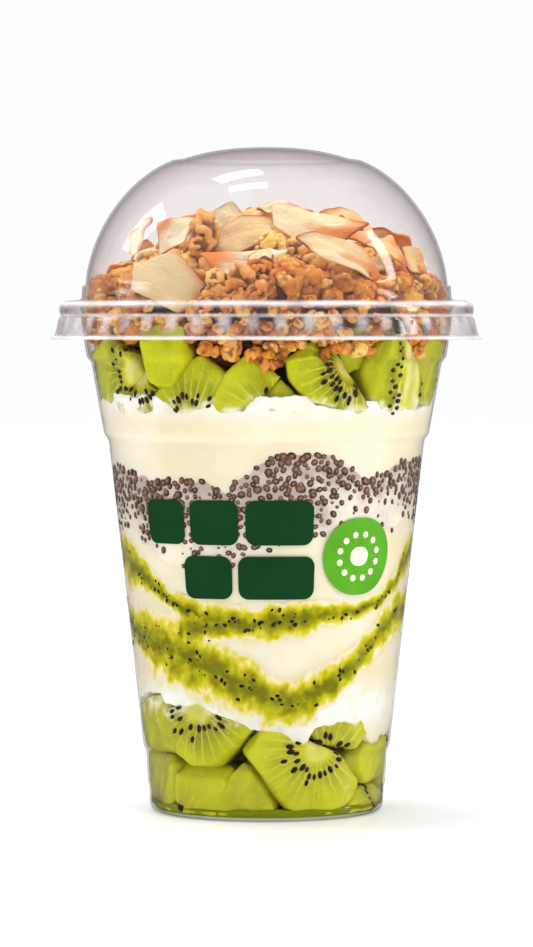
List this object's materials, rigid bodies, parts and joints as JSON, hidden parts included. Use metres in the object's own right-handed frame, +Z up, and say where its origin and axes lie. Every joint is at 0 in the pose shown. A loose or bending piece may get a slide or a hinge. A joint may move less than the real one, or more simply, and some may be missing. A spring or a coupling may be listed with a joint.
{
  "type": "yogurt parfait in a lidded cup",
  "caption": "Layered kiwi, yogurt, chia and granola parfait in a clear tapered cup closed by a clear dome lid.",
  "frame": {"origin": "middle of the cup's foot ring, on the surface it stands on", "axes": "+Z up along the cup's axis, -Y towards the printed front, +X to the right of it"},
  "size_m": [0.1026, 0.1026, 0.158],
  "materials": {
    "cup": null,
    "dome_lid": "clear thermoformed PET, glossy",
    "kiwi": "wet translucent green fruit flesh with pale rays, a cream core and small black seeds",
    "yogurt": "thick cream-coloured yogurt, softly glossy",
    "puree": "wet yellow-green fruit puree with small black seeds",
    "chia": "yogurt packed with soaked dark chia seeds",
    "granola": "toasted clusters of oats and walnut pieces, honey glazed",
    "coconut": "dry toasted coconut flakes, pale with browned edges"
  },
  "bodies": {
    "root": {"chia_layer": "chia", "coconut_chip_01": "coconut", "coconut_chip_02": "coconut", "coconut_chip_03": "coconut", "coconut_chip_04": "coconut", "coconut_chip_05": "coconut", "coconut_chip_06": "coconut", "coconut_chip_07": "coconut", "coconut_chip_08": "coconut", "coconut_chip_09": "coconut", "coconut_chip_10": "coconut", "coconut_chip_11": "coconut", "coconut_chip_12": "coconut", "coconut_chip_13": "coconut", "coconut_chip_14": "coconut", "coconut_chip_15": "coconut", "cup": "cup", "dome_lid": "dome_lid", "granola": "granola", "kiwi_high_01": "kiwi", "kiwi_high_02": "kiwi", "kiwi_high_03": "kiwi", "kiwi_high_04": "kiwi", "kiwi_high_05": "kiwi", "kiwi_high_06": "kiwi", "kiwi_high_07": "kiwi", "kiwi_high_08": "kiwi", "kiwi_high_09": "kiwi", "kiwi_high_10": "kiwi", "kiwi_high_11": "kiwi", "kiwi_high_12": "kiwi", "kiwi_high_13": "kiwi", "kiwi_high_14": "kiwi", "kiwi_high_15": "kiwi", "kiwi_high_16": "kiwi", "kiwi_high_17": "kiwi", "kiwi_low_01": "kiwi", "kiwi_low_02": "kiwi", "kiwi_low_03": "kiwi", "kiwi_low_04": "kiwi", "kiwi_low_05": "kiwi", "kiwi_low_06": "kiwi", "kiwi_low_07": "kiwi", "kiwi_low_08": "kiwi", "kiwi_low_09": "kiwi", "kiwi_low_10": "kiwi", "kiwi_low_11": "kiwi", "kiwi_low_12": "kiwi", "kiwi_low_13": "kiwi", "kiwi_low_14": "kiwi", "kiwi_low_15": "kiwi", "kiwi_low_16": "kiwi", "kiwi_low_17": "kiwi", "kiwi_low_18": "kiwi", "puree_high": "puree", "puree_link": "puree", "puree_low": "puree", "yogurt_lower": "yogurt", "yogurt_upper": "yogurt"}
  },
  "joints": []
}
